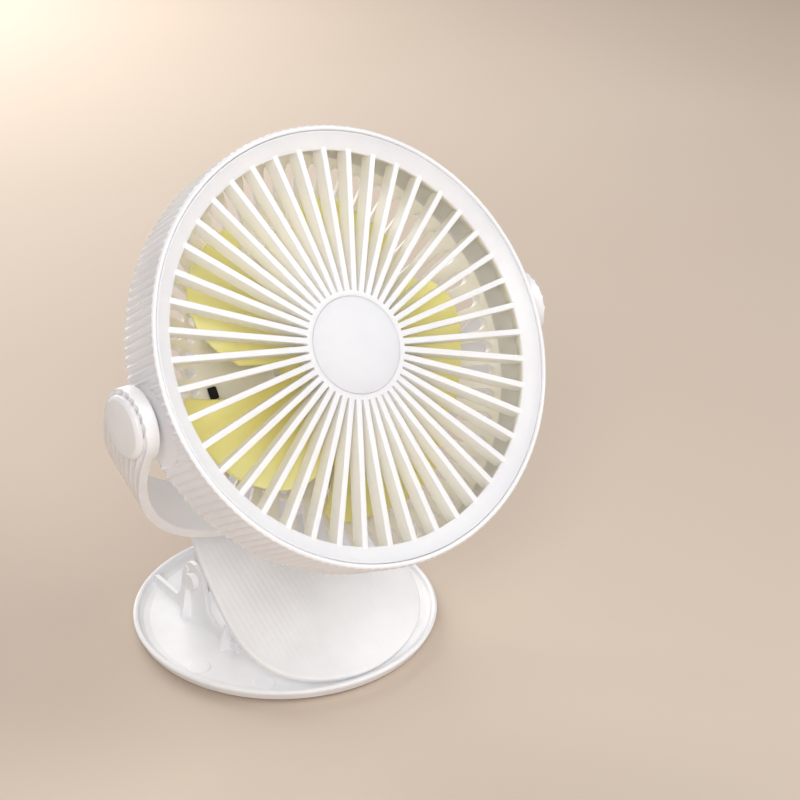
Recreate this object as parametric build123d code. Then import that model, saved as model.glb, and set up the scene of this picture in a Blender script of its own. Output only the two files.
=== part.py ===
from build123d import *
import math
import os

os.makedirs("parts", exist_ok=True)

# ---------------------------------------------------------------------------
# Clip-on desk fan.  Millimetres, +Z up, the fan faces -Y, X is left-right.
# Origin: centre of the base's underside, on the surface it stands on.
# ---------------------------------------------------------------------------

# head
TILT = 32.8            # face turned up from the horizontal, degrees
FACE_Y, FACE_Z = -46.3, 130.5   # centre of the front face
R_OPEN = 66.7          # inner edge of the front ring
R_RING = 72.5          # outer edge of the front ring (parting line)
RING_W = 2.85          # how far that edge stands in front of the face plane
R_SKIRT = 71.3         # outside of the skirt behind the ring
R_RIM = 75.7           # outside of the ribbed rim
RIM_BACK = -20.5       # rear edge of the rim
N_SPOKE = 44           # straight radial bars of the front guard
SPOKE_W = 2.05         # bar width
SPOKE_PHASE = -2.6     # angle of the first bar
SPOKE_D = 6.8          # bar depth
R_HUB = 18.6           # front hub disc
R_CAP = 16.45          # round cover let into the hub
BACK = -35.5           # rear face of the rear shell
N_SLOT = 48            # rear air slots
R_POD = 41.0           # rear pod
POD_BACK = -54.0       # back of the pod, before the pod is moved up to the shell
POD_UP = 4.0
POD_SCREW_R = 35.2     # circle of the pod screws
BTN_Y, LED_Y = 22.0, 11.4   # button and light, above the middle of the pod

# impeller
N_BLADE = 5
R_TIP = 56.0
R_IMP_HUB = 15.5
BLADE_PHASE = 66.0
BLADE_W = -20.3        # middle of the blades behind the face plane

# pivots
PIV_W, PIV_U = -14.0, -2.4   # pivot axis behind the face plane and below its middle
R_TRUN = 5.0
RUN = 0.05             # running clearance, radial

# yoke
LEAN = 30.0            # yoke and clip plate lean, degrees
YK_X, YK_S = 81.5, 82.2    # half width and drop of the U, outside
YK_T = 3.6             # band thickness
YK_W, YK_W2 = 24.5, 22.3   # band width at the ends and at the bottom
R_END = 12.25          # round ends
YK_BOSS = 76.45        # inner face of the bosses of the round ends
R_BOSS = 12.0
R_PCAP = 10.6          # pivot caps

# clip
PLATE_T = 2.6
PLATE_Y, PLATE_Z = -53.2, 4.6   # front edge of the plate's upper face
PIN_Y, PIN_Z, PIN_R = 14.0, 20.0, 2.0
CHEEK_X = 30.0         # middle of the base's hinge walls
JCHEEK_X = 26.5        # middle of the jaw's hinge walls

# base
R_BASE = 57.3
BASE_H = 5.4
FLOOR_T = 2.6
PAD_T = 0.8

t = math.radians(TILT)
HEAD = Location((0, FACE_Y, FACE_Z), (90 - TILT, 0, 0))
NY, NZ = -math.cos(t), math.sin(t)
PIV_Y, PIV_Z = FACE_Y + PIV_W * NY + PIV_U * NZ, FACE_Z + PIV_W * NZ - PIV_U * NY
ln = math.radians(LEAN)
GY, GZ = math.sin(ln), -math.cos(ln)        # down the yoke, away from the pivot
# yoke frame: local X = X, local Y = up the yoke, local Z = towards the front and down
YOKE = Location((0, PIV_Y, PIV_Z), (90 + LEAN, 0, 0))
# jaw frame: local XY on the plate's upper face, +Y up the slope, local Z = outward normal
JAW = Location((0, PLATE_Y, PLATE_Z), (LEAN, 0, 0))


def save(name, shape, loc=None):
    """Write one named piece."""
    if loc is not None:
        shape = loc * shape
    shape.label = name
    export_step(shape, f"parts/{name}.step")
    return shape


def ring(r1, r0, z0, z1):
    """Tube about local Z between heights z0 and z1."""
    h = z1 - z0
    return Pos(0, 0, (z0 + z1) / 2) * (Cylinder(r1, h) - Cylinder(r0, h + 2))


def disc(r, z0, z1, x=0, y=0):
    return Pos(x, y, (z0 + z1) / 2) * Cylinder(r, z1 - z0)


def lathe(pts):
    """Revolve an (r, z) outline about local Z."""
    wire = Polyline(*[(p[0], 0, p[1]) for p in pts], close=True)
    return revolve(make_face(wire), Axis.Z, 360)


def xdisc(r, x0, x1, y=0, z=0):
    """Cylinder along X."""
    return Pos((x0 + x1) / 2, y, z) * Rot(0, 90, 0) * Cylinder(r, abs(x1 - x0))


def box(x0, x1, y0, y1, z0, z1):
    return Pos((x0 + x1) / 2, (y0 + y1) / 2, (z0 + z1) / 2) * Box(x1 - x0, y1 - y0, z1 - z0)


def common(a, b):
    """The space two shapes share."""
    r = a.intersect(b)
    if isinstance(r, list):
        sol = [q for part in r for q in part.solids()]
        r = sol[0] if len(sol) == 1 else sol[0].fuse(*sol[1:])
    return r


def yz_plate(pts, x0, x1):
    """Flat plate: an outline in Y, Z carried from x0 to x1."""
    wire = Polyline(*[(x0, p[0], p[1]) for p in pts], close=True)
    return extrude(make_face(wire), amount=x1 - x0, dir=(1, 0, 0))


# ---------------------------------------------------------------------------
# Head, in its own frame: Z out of the front face
# ---------------------------------------------------------------------------

# front guard: dished ring with a skirt, 44 deep bars and the hub disc
guard = lathe([(R_OPEN, -0.45), (R_OPEN + 0.5, -0.2), (R_RING - 0.8, RING_W), (R_RING - 0.3, RING_W), (R_RING, RING_W - 0.35), (R_RING, 0.4),
               (R_SKIRT, -0.4), (R_SKIRT, -9.0), (R_SKIRT - 1.8, -9.0), (R_SKIRT - 1.8, -2.6), (R_OPEN, -2.6)])
bars = []
for k in range(N_SPOKE):
    a = 360.0 * k / N_SPOKE + SPOKE_PHASE
    bars.append(Rot(0, 0, a) * box(R_HUB - 2.0, R_OPEN + 1.2, -SPOKE_W / 2, SPOKE_W / 2, -SPOKE_D, 0.0))
hub = disc(R_HUB, -2.8, 0.3) + ring(R_HUB, R_HUB - 1.8, -SPOKE_D, -2.8)
hub = hub - disc(R_CAP + 0.12, -0.9, 1.0)
guard = guard.fuse(*bars).fuse(hub)
guard = guard.clean()
save("front_grille", guard, HEAD)

# smooth round cover let into the hub
cap = lathe([(0, -0.9), (R_CAP, -0.9), (R_CAP, 0.12), (R_CAP - 0.4, 0.34), (R_CAP * 0.6, 0.5), (0, 0.55)])
save("hub_cover", cap, HEAD)

# ribbed rim: band with a rolled front lip, round pads and trunnions at the pivots
rim = lathe([(R_RING + 0.15, RING_W - 0.4), (R_RING + 0.6, RING_W + 0.1), (R_RIM - 2.0, RING_W + 0.05), (R_RIM - 0.9, 2.1), (R_RIM - 0.2, 0.7), (R_RIM, -1.0),
             (R_RIM, RIM_BACK + 0.8), (R_RIM - 0.8, RIM_BACK), (73.2, RIM_BACK), (73.2, -4.0), (R_SKIRT + 0.15, -3.0), (R_SKIRT + 0.15, -0.75),
             (R_RING + 0.15, 0.05)])
for s in (-1, 1):
    rim = rim + xdisc(6.2, s * 73.4, s * 76.3, PIV_U, PIV_W)
    rim = rim + xdisc(R_TRUN, s * 74.0, s * 79.9, PIV_U, PIV_W)
    rim = rim - xdisc(1.5, s * 72.0, s * 81.0, PIV_U, PIV_W)
rim = rim - ring(73.2, 60.0, RIM_BACK, -4.0)
save("ribbed_rim", rim, HEAD)

# rear shell: shallow dome with tapered radial air slots, closed in the middle, with a seat for the motor
shell = lathe([(73.05, -9.3), (73.05, RIM_BACK - 0.2), (74.6, RIM_BACK - 0.2), (74.2, -22.2), (71.0, -24.6), (65.0, -28.3), (57.0, -31.7),
               (48.5, -34.1), (41.0, -35.2), (36.0, BACK), (12.8, BACK), (12.8, -33.4), (41.0, -33.0), (48.0, -31.8), (56.0, -29.4),
               (64.0, -25.8), (69.0, -22.4), (71.2, -20.2), (71.2, -9.3)])
slots = []
for k in range(N_SLOT):
    a = 360.0 * (k + 0.5) / N_SLOT
    cut = extrude(make_face(Polyline((44.8, -1.35), (67.0, -2.5), (67.0, 2.5), (44.8, 1.35), close=True)), amount=24)
    cut = Pos(0, 0, -40) * cut + disc(1.35, -40, -16, 44.8, 0) + disc(2.5, -40, -16, 67.0, 0)
    slots.append(Rot(0, 0, a) * cut)
shell = shell.cut(*slots)
shell = shell + lathe([(47.3, -31.97), (48.9, -31.55), (48.9, -34.02), (47.3, -34.35)])     # hoop across the slots
shell = shell + ring(14.6, 12.8, BACK, -28.9)
shell = shell - box(-40.6, -37.2, -1.8, 2.6, -40, -30)             # small window in the closed middle
save("rear_shell", shell, HEAD)

# rear pod: cover over the electronics, screwed to the shell
PODZ = BACK - 0.05 - POD_UP
POD = HEAD * Pos(0, 0, POD_UP)
pod = lathe([(R_POD, PODZ), (R_POD, -50.5), (R_POD - 1.2, -52.6), (R_POD - 3.4, POD_BACK), (0, POD_BACK),
             (0, POD_BACK + 1.8), (R_POD - 3.6, POD_BACK + 1.8), (R_POD - 1.9, -51.0), (R_POD - 1.9, PODZ)])
pod = pod - disc(6.25, -56, -50, 0, BTN_Y)                     # button hole
pod = pod - disc(1.3, -56, -50, 0, LED_Y)                      # light hole
pod = pod - box(-4.6, 4.6, -43, -37, -48.3, -44.9)             # charging inlet window
for a in (45, 135, 225, 315):
    x, y = POD_SCREW_R * math.cos(math.radians(a)), POD_SCREW_R * math.sin(math.radians(a))
    pod = pod + (disc(2.6, -53.0, PODZ, x, y) - disc(1.2, -60, -30, x, y)) - disc(2.3, -56, -51.2, x, y) - disc(1.2, -60, -30, x, y)
save("rear_pod", pod, POD)

screws = []
for a in (45, 135, 225, 315):
    x, y = POD_SCREW_R * math.cos(math.radians(a)), POD_SCREW_R * math.sin(math.radians(a))
    head_ = disc(2.15, -53.2, -51.2, x, y) - box(x - 1.5, x + 1.5, y - 0.3, y + 0.3, -54, -52.5) - box(x - 0.3, x + 0.3, y - 1.5, y + 1.5, -54, -52.5)
    screws.append(head_ + disc(1.2, -51.4, -40.2, x, y))
save("pod_screws", Compound(children=screws), POD)

# motor: can in the seat, sleeve bearing, shaft
can = ring(12.75, 3.05, BACK, -22.0) - ring(12.0, 5.5, BACK + 1.2, -23.2)
save("motor_can", can, HEAD)
windings = ring(10.8, 6.0, -33.4, -24.4)
save("motor_windings", windings, HEAD)
bearing = ring(3.05, 1.0 + RUN, BACK, -21.4)
save("motor_bearing", bearing, HEAD)

# circuit board, battery, charging inlet, light
pcb = box(-27, 27, -37.6, 31.0, -44.6, -43.4)
pcb = common(pcb, disc(R_POD - 2.6, -46, -42))
for a in (45, 135, 225, 315):
    x, y = POD_SCREW_R * math.cos(math.radians(a)), POD_SCREW_R * math.sin(math.radians(a))
    pcb = pcb - disc(3.0, -50, -40, x, y)
save("control_board", pcb, POD)
cell = box(-22.0, 22.0, -22.0, 7.0, -51.8, -44.7)
cell = fillet(cell.edges().filter_by(Axis.X), 1.2)
save("battery_cell", cell, POD)
inlet = box(-4.45, 4.45, -39.9, -32.5, -48.2, -45.0)
inlet = fillet(inlet.edges().filter_by(Axis.Y), 1.3)
inlet = inlet - box(-3.7, 3.7, -41.0, -33.6, -47.5, -45.7)
inlet = inlet + box(-2.6, 2.6, -39.0, -33.0, -46.85, -46.35)
inlet = inlet + box(-4.0, 4.0, -37.4, -32.6, -45.2, -44.62)
save("charging_inlet", inlet, POD)
light = disc(1.2, -54.0, -44.7, 0, LED_Y)
save("light_pipe", light, POD)
switch = box(-3.1, 3.1, BTN_Y - 3.1, BTN_Y + 3.1, -47.6, -44.65)
save("tact_switch", switch, POD)

# button in the pod
button = lathe([(0, -54.9), (5.0, -54.9), (6.1, -54.2), (6.1, -52.05), (7.2, -52.05), (7.2, -50.9), (1.6, -50.9), (1.6, -48.7), (0, -48.7)])
save("speed_button", Pos(0, BTN_Y, 0) * button, POD)

# small black plug in the shell's window
plug = box(-40.55, -37.25, -1.75, 2.55, -35.4, -32.6)
plug = fillet(plug.edges().filter_by(Axis.Z), 0.6)
save("window_plug", plug, HEAD)

# screws that hold the head in the yoke, one each side
psc = []
for s in (-1, 1):
    b = xdisc(7.2, s * 80.0, s * 81.3, PIV_U, PIV_W) + xdisc(1.5, s * 73.4, s * 80.1, PIV_U, PIV_W)
    b = b - box(min(s * 80.7, s * 82), max(s * 80.7, s * 82), PIV_U - 2.2, PIV_U + 2.2, PIV_W - 0.4, PIV_W + 0.4)
    b = b - box(min(s * 80.7, s * 82), max(s * 80.7, s * 82), PIV_U - 0.4, PIV_U + 0.4, PIV_W - 2.2, PIV_W + 2.2)
    psc.append(b)
save("pivot_screws", Compound(children=psc), HEAD)

# ---------------------------------------------------------------------------
# Impeller: hub cup and five broad twisted blades
# ---------------------------------------------------------------------------
imp = lathe([(0, -10.2), (R_IMP_HUB - 2.2, -10.2), (R_IMP_HUB, -12.2), (R_IMP_HUB, -28.0), (R_IMP_HUB - 1.6, -28.0),
             (R_IMP_HUB - 1.6, -12.4), (3.4, -12.4), (3.4, -20.8), (0, -20.8)])
blades = []
for k in range(N_BLADE):
    a = BLADE_PHASE + 360.0 * k / N_BLADE
    secs = []
    for r, y0, y1, pitch in ((14.6, -5.5, 9.5, 40.0), (28.0, -12.5, 19.0, 31.0), (38.0, -20.0, 24.0, 27.0), (47.0, -29.5, 19.0, 24.0), (55.5, -37.0, 6.0, 21.0)):
        span, skew = (y1 - y0) / math.cos(math.radians(pitch)), (y0 + y1) / 2 / math.cos(math.radians(pitch))
        pl = Plane(origin=(r, 0, BLADE_W), x_dir=(0, 1, 0), z_dir=(1, 0, 0))
        c = span
        camber = 0.03 * c
        th = 0.9
        up = [(-c / 2, 0), (-c / 4, camber * 0.75), (0, camber), (c / 4, camber * 0.75), (c / 2, 0)]
        with BuildSketch(pl) as sk:
            with BuildLine():
                l1 = Spline(*[(p[0] + skew, p[1] + th) for p in up])
                l2 = Line(l1 @ 1, (c / 2 + skew, -th + 0.2))
                l3 = Spline(*[(p[0] + skew, p[1] - th + 0.2) for p in reversed(up)])
                Line(l3 @ 1, l1 @ 0)
            make_face()
        secs.append(sk.sketch.face().rotate(Axis((r, 0, BLADE_W), (1, 0, 0)), pitch))
    b = loft(secs)
    blades.append(Rot(0, 0, a) * b)
envelope = ring(R_TIP, R_IMP_HUB - 0.8, -27.2, -10.4)
blades = [common(b, envelope) for b in blades]
imp = imp.fuse(*blades)
imp = imp - disc(1.0, -24, -11.5)
save("impeller", imp, HEAD)
shaft = disc(1.0, -36.8, -11.6)
save("motor_shaft", shaft, HEAD)

# ---------------------------------------------------------------------------
# Yoke, in its own frame: X across, Y up the yoke, Z towards the front
# ---------------------------------------------------------------------------
outer = extrude(Ellipse(YK_X, YK_S), amount=YK_W / 2, both=True)
inner = extrude(Ellipse(YK_X - YK_T, YK_S - YK_T), amount=YK_W, both=True)
band = outer - inner - box(-100, 100, 0, 200, -50, 50)
band = common(band, yz_plate([(10, YK_W / 2), (0, YK_W / 2), (-YK_S, YK_W2 / 2), (-100, YK_W2 / 2), (-100, -YK_W2 / 2), (-YK_S, -YK_W2 / 2),
                              (0, -YK_W / 2), (10, -YK_W / 2)], -100, 100))
for s in (-1, 1):
    end = xdisc(R_END, s * (YK_X - YK_T), s * YK_X)
    band = band + end
band = band + Pos(0, -(YK_S - 1.6), 0) * Rot(90, 0, 0) * Cylinder(11.0, 4.0)
band = band - common(extrude(Ellipse(YK_X - YK_T, YK_S - YK_T), amount=YK_W, both=True), box(-200, 200, -200, -20, -50, 50))
for s in (-1, 1):
    band = band - xdisc(R_TRUN + RUN, s * 70, s * 90)
    band = band - xdisc(7.6, s * 79.95, s * 90)
YK_BOT = YK_S + 0.4
band = band - Pos(0, -(YK_BOT - 4.0), 0) * Rot(90, 0, 0) * Cylinder(1.6, 20)
for s in (-1, 1):                                    # bosses round the washers
    band = band + (xdisc(R_BOSS, s * YK_BOSS, s * 79.0) - xdisc(7.0, s * 70, s * 90))
save("yoke", band, YOKE)

for s, nm in ((-1, "left"), (1, "right")):
    c = lathe([(7.4, 0), (R_PCAP, 0), (R_PCAP, 0.9), (R_PCAP - 0.8, 1.8), (R_PCAP * 0.55, 2.35), (0, 2.5), (0, 1.0), (7.4, 0.6)])
    c = Pos(s * (YK_X + 0.02), 0, 0) * Rot(0, s * 90, 0) * c
    save("pivot_cap_" + nm, c, YOKE)

fw = [xdisc(6.2, s * 76.4, s * 77.45) - xdisc(R_TRUN + 0.15, s * 70, s * 90) for s in (-1, 1)]
save("friction_washers", Compound(children=fw), YOKE)

# swivel post under the yoke, with its washer and screw below the plate
AX_T = (PIV_Z - PLATE_Z - math.tan(ln) * (PIV_Y - PLATE_Y)) / (math.cos(ln) + math.tan(ln) * math.sin(ln))


def post(r, s0, s1):
    return Pos(0, -(s0 + s1) / 2, 0) * Rot(90, 0, 0) * Cylinder(r, s1 - s0)


NECK_TOP = YK_BOT + 0.3
POST_END = AX_T + PLATE_T + 0.4
post_ = post(6.0, YK_BOT, POST_END) - post(1.6, YK_BOT - 5, POST_END + 5)
save("swivel_post", post_, YOKE)
save("swivel_washer", post(9.0, POST_END, POST_END + 1.0) - post(1.65, POST_END - 2, POST_END + 4), YOKE)
sw = post(3.2, POST_END + 1.0, POST_END + 2.6) + post(1.6, YK_S - 3.0, POST_END + 1.2)
for slot in (box(-0.4, 0.4, -POST_END - 4, -POST_END - 2.0, -2.4, 2.4), box(-2.4, 2.4, -POST_END - 4, -POST_END - 2.0, -0.4, 0.4)):
    sw = sw - slot
save("swivel_screw", sw, YOKE)

# ---------------------------------------------------------------------------
# Clip jaw: inclined plate with a neck for the swivel and two hinge walls
# ---------------------------------------------------------------------------
half = [(0, 0), (14, 2.1), (24, 6.4), (31.5, 12.4), (36.4, 20.5), (38.4, 30.0), (38.2, 41.0), (36.8, 53.0), (35.0, 64.0),
        (32.6, 74.0), (28.6, 84.0), (21.0, 92.0), (11.0, 95.6)]
outline = [(x, y) for x, y in half] + [(0, 96.4)] + [(-x, y) for x, y in reversed(half[1:])]
plate = extrude(make_face(Spline(*outline, periodic=True)), amount=-PLATE_T)
try:
    plate = fillet(plate.edges().filter_by_position(Axis.Z, -0.01, 0.01), 0.9)
except Exception:
    pass
jaw = JAW * plate
zt = lambda y: PLATE_Z + math.tan(ln) * (y - PLATE_Y)
zu = lambda y: zt(y) - (PLATE_T - 0.4) / math.cos(ln)
for s in (-1, 1):
    x0, x1 = s * JCHEEK_X - 1.1, s * JCHEEK_X + 1.1
    web = yz_plate([(PIN_Y - 18.0, zu(PIN_Y - 18.0)), (19.0, zu(19.0)), (PIN_Y + 5.9, PIN_Z + 1.0), (PIN_Y + 3.0, PIN_Z - 5.2), (PIN_Y - 3.0, PIN_Z - 5.2), (PIN_Y - 5.9, PIN_Z + 1.0)], x0, x1)
    web = web + xdisc(6.0, x0, x1, PIN_Y, PIN_Z)
    jaw = jaw + web
neck = YOKE * Rot(90, 0, 0) * lathe([(0, NECK_TOP), (11.4, NECK_TOP), (12.0, NECK_TOP + 0.6), (12.6, AX_T - 3.5), (14.6, AX_T - 1.0), (17.0, AX_T), (17.0, AX_T + 0.5), (0, AX_T + 0.5)])
jaw = jaw + neck
jaw = jaw - YOKE * post(6.0 + RUN, 60, 130)
jaw = jaw - xdisc(PIN_R + RUN, -40, 40, PIN_Y, PIN_Z)
jaw = jaw - box(-60, 60, -70, -30, -10, 3.55)      # flat under the front edge
save("clip_jaw", jaw)

# soft strip under the front edge of the jaw
lip = [(-20, 7.5), (-12, 4.6), (0, 3.4), (12, 4.6), (20, 7.5), (20, 11.5), (12, 8.6), (0, 7.4), (-12, 8.6), (-20, 11.5)]
strip = extrude(make_face(Polyline(*lip, close=True)), amount=-0.9)
save("jaw_grip_strip", Pos(0, 0, -PLATE_T) * strip, JAW)

# ---------------------------------------------------------------------------
# Base: round dish with a turned-up rim and the hinge walls
# ---------------------------------------------------------------------------
dish = lathe([(0, PAD_T), (54.8, PAD_T), (55.7, 1.3), (57.1, 4.0), (R_BASE, 4.7), (56.9, 5.3), (56.2, BASE_H), (55.5, 5.1),
              (54.9, 4.0), (53.6, 3.2), (51.0, FLOOR_T), (0, FLOOR_T)])
for s in (-1, 1):
    x0, x1 = s * CHEEK_X - 1.0, s * CHEEK_X + 1.0
    wall = yz_plate([(44.6, 2.0), (44.6, 6.8), (27.5, 6.8), (24.6, 11.0), (22.6, 20.0), (19.6, 25.0), (16.6, 26.6), (13.0, 26.8), (9.6, 25.0), (7.6, 20.0),
                     (6.0, 9.5), (2.0, 7.0), (-12.0, 6.2), (-15.0, 2.0)], x0, x1)
    dish = dish + wall
    g1 = [(s * 30.5, 2.0), (s * 35.0, 2.0), (s * 31.6, 24.0), (s * 30.5, 24.0)]
    g2 = [(s * 30.5, 2.0), (s * 35.4, 2.0), (s * 31.5, 12.2), (s * 30.5, 12.2)]
    for g, yy in ((g1, 18.5), (g2, -8.0)):
        f = make_face(Polyline(*[(p[0], yy - 0.9, p[1]) for p in g], close=True))
        dish = dish + extrude(f, amount=1.8, dir=(0, 1, 0))
    dish = dish + box(min(s * 29.0, s * 31.0), max(s * 29.0, s * 31.0), -9.0, -7.0, 2.0, 12.2)
# low round bosses moulded in the floor
for a in (-164.6, -133.4, -46.6, -15.4):
    dish = dish + disc(4.2, 2.0, 2.75, 50.0 * math.cos(math.radians(a)) * 0.96, 50.0 * math.sin(math.radians(a)) * 0.96)
dish = dish - xdisc(PIN_R, -40, 40, PIN_Y, PIN_Z)
save("base_dish", dish)

pad = disc(50.0, 0, PAD_T)
save("base_pad", pad)

pin = xdisc(PIN_R, -32.2, 32.2, PIN_Y, PIN_Z)
pin = pin + xdisc(3.2, -33.4, -31.05, PIN_Y, PIN_Z) - xdisc(3.2, -31.05, -30.0, PIN_Y, PIN_Z) + xdisc(PIN_R, -32.2, 32.2, PIN_Y, PIN_Z)
save("hinge_pin", pin)
clip_ring = xdisc(3.3, 31.1, 31.9, PIN_Y, PIN_Z) - xdisc(PIN_R, 30, 34, PIN_Y, PIN_Z)
save("hinge_clip", clip_ring)

# torsion spring round the pin: coil and two legs to the rear
coil = xdisc(5.0, -11.0, 11.0, PIN_Y, PIN_Z) - xdisc(3.6, -20, 20, PIN_Y, PIN_Z)
legl = yz_plate([(PIN_Y - 2.6, PIN_Z - 4.2), (PIN_Y + 0.4, PIN_Z - 3.7), (35.0, 4.1), (35.0, 2.7), (32.6, 2.7)], -11.0, -9.6)
legu = yz_plate([(PIN_Y + 3.6, PIN_Z - 1.0), (PIN_Y + 4.9, PIN_Z - 0.6), (21.2, zu(21.2) - 1.3), (19.8, zu(19.8) - 1.3)], 9.6, 11.0)
hole = xdisc(3.6, -20, 20, PIN_Y, PIN_Z)
spring = coil + (legl - hole) + (legu - hole)
save("clip_spring", spring)

print("pivot", PIV_Y, PIV_Z, "axis reach", AX_T)
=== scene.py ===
import math

import bmesh
import bpy
import numpy as np
from mathutils import Matrix, Vector


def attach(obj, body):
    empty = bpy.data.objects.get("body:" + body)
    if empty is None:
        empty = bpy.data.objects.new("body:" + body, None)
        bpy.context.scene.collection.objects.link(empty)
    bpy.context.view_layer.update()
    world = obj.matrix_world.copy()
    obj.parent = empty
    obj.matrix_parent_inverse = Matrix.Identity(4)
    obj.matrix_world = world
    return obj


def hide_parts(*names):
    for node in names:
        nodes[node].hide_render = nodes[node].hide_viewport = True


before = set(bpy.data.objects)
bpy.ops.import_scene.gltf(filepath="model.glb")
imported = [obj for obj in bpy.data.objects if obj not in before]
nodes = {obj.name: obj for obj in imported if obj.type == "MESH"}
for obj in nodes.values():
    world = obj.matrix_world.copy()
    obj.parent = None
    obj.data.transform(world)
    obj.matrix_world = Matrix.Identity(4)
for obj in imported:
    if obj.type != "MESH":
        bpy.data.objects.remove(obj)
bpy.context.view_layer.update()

MM = 0.001
PI = math.pi


# ---------------------------------------------------------------------------
# Frames, millimetres to metres
# ---------------------------------------------------------------------------
def place(origin, ex, ey, ez):
    m = np.zeros((3, 4))
    m[:, 0], m[:, 1], m[:, 2], m[:, 3] = ex, ey, ez, origin
    return m


t = math.radians(32.8)
HEAD = place((0, -46.3, 130.5), (1, 0, 0), (0, math.sin(t), math.cos(t)), (0, -math.cos(t), math.sin(t)))
PIV_U, PIV_W = -2.4, -14.0
PIV = HEAD[:, 3] + PIV_U * HEAD[:, 1] + PIV_W * HEAD[:, 2]
C30, S30 = math.cos(math.radians(30)), math.sin(math.radians(30))
YOKE = place(PIV, (1, 0, 0), (0, -S30, C30), (0, -C30, -S30))
JAW = place((0, -53.2, 4.6), (1, 0, 0), (0, C30, S30), (0, -S30, C30))
WORLD = place((0, 0, 0), (1, 0, 0), (0, 1, 0), (0, 0, 1))


def turn(m, axis, degrees, at=(0, 0, 0)):
    """The frame m turned about one of its own axes, through the local point at."""
    c, s = math.cos(math.radians(degrees)), math.sin(math.radians(degrees))
    r = {"x": [[1, 0, 0], [0, c, -s], [0, s, c]], "y": [[c, 0, s], [0, 1, 0], [-s, 0, c]], "z": [[c, -s, 0], [s, c, 0], [0, 0, 1]]}[axis]
    r = np.array(r)
    q = np.zeros((3, 4))
    q[:, :3] = m[:, :3] @ r
    q[:, 3] = m[:, 3] + m[:, :3] @ np.array(at, float)
    return q


# ---------------------------------------------------------------------------
# Mesh making
# ---------------------------------------------------------------------------
def make(name, verts, faces, m=WORLD, merge=2e-6):
    v = np.asarray(verts, float)
    v = (v @ m[:, :3].T + m[:, 3]) * MM
    me = bpy.data.meshes.new(name)
    me.from_pydata(v.tolist(), [], [tuple(int(i) for i in f) for f in faces])
    bm = bmesh.new()
    bm.from_mesh(me)
    bmesh.ops.remove_doubles(bm, verts=bm.verts, dist=merge)
    bmesh.ops.dissolve_degenerate(bm, edges=bm.edges, dist=1e-7)
    bmesh.ops.recalc_face_normals(bm, faces=bm.faces)
    bm.to_mesh(me)
    bm.free()
    o = bpy.data.objects.new(name, me)
    bpy.context.scene.collection.objects.link(o)
    return o


def smooth(o, angle=32.0):
    for p in o.data.polygons:
        p.use_smooth = True
    o.data.set_sharp_from_angle(angle=math.radians(angle))
    return o


def baked(o):
    """Turns an object's modifiers into its mesh."""
    bpy.context.view_layer.update()
    dg = bpy.context.evaluated_depsgraph_get()
    me = bpy.data.meshes.new_from_object(o.evaluated_get(dg))
    old = o.data
    o.modifiers.clear()
    o.data = me
    me.name = o.name
    bpy.data.meshes.remove(old)
    return o


def combine(a, b, how="UNION"):
    """a with b added or cut away; b is used up."""
    before = len(a.data.polygons)
    md = a.modifiers.new("c", "BOOLEAN")
    md.operation = how
    md.object = b
    try:
        md.solver = "MANIFOLD"
    except TypeError:
        md.solver = "EXACT"
    bpy.context.view_layer.update()
    dg = bpy.context.evaluated_depsgraph_get()
    n = len(a.evaluated_get(dg).data.polygons)
    if n == before or n < 4:
        md.solver = "EXACT"
    baked(a)
    me = b.data
    bpy.data.objects.remove(b)
    bpy.data.meshes.remove(me)
    return a


def joined(name, objs):
    """Several objects as one mesh."""
    vs, fs, n = [], [], 0
    for o in objs:
        vs += [tuple(x / MM for x in v.co) for v in o.data.vertices]
        fs += [tuple(i + n for i in p.vertices) for p in o.data.polygons]
        n += len(o.data.vertices)
        me = o.data
        bpy.data.objects.remove(o)
        bpy.data.meshes.remove(me)
    return make(name, vs, fs, merge=1e-9)


def soften(o, width, segments=2, angle=40.0):
    """Rounds an object's edges, millimetres."""
    md = o.modifiers.new("r", "BEVEL")
    md.width = width * MM
    md.segments = segments
    md.limit_method = "ANGLE"
    md.angle_limit = math.radians(angle)
    md.harden_normals = False
    return baked(o)


def rnd(pts, rad, seg=4):
    """Rounds the corners of a closed outline; rad is one radius or one per corner."""
    n = len(pts)
    rads = [rad] * n if not isinstance(rad, (list, tuple)) else list(rad)
    out = []
    for i in range(n):
        p, a, b = np.array(pts[i], float), np.array(pts[i - 1], float), np.array(pts[(i + 1) % n], float)
        la, lb = np.linalg.norm(a - p), np.linalg.norm(b - p)
        if rads[i] <= 0 or la < 1e-6 or lb < 1e-6:
            out.append(tuple(p))
            continue
        u, v = (a - p) / la, (b - p) / lb
        cosf = float(np.clip(u @ v, -1, 1))
        phi = math.acos(cosf)
        if phi > math.radians(177) or phi < math.radians(3):
            out.append(tuple(p))
            continue
        tl = min(rads[i] / math.tan(phi / 2), 0.47 * la, 0.47 * lb)
        r = tl * math.tan(phi / 2)
        bis = (u + v) / np.linalg.norm(u + v)
        c = p + bis * (r / math.sin(phi / 2))
        s, e = p + u * tl - c, p + v * tl - c
        a0 = math.atan2(s[1], s[0])
        da = (math.atan2(e[1], e[0]) - a0 + PI) % (2 * PI) - PI
        for k in range(seg + 1):
            w = a0 + da * k / seg
            out.append((c[0] + r * math.cos(w), c[1] + r * math.sin(w)))
    return out


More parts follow.
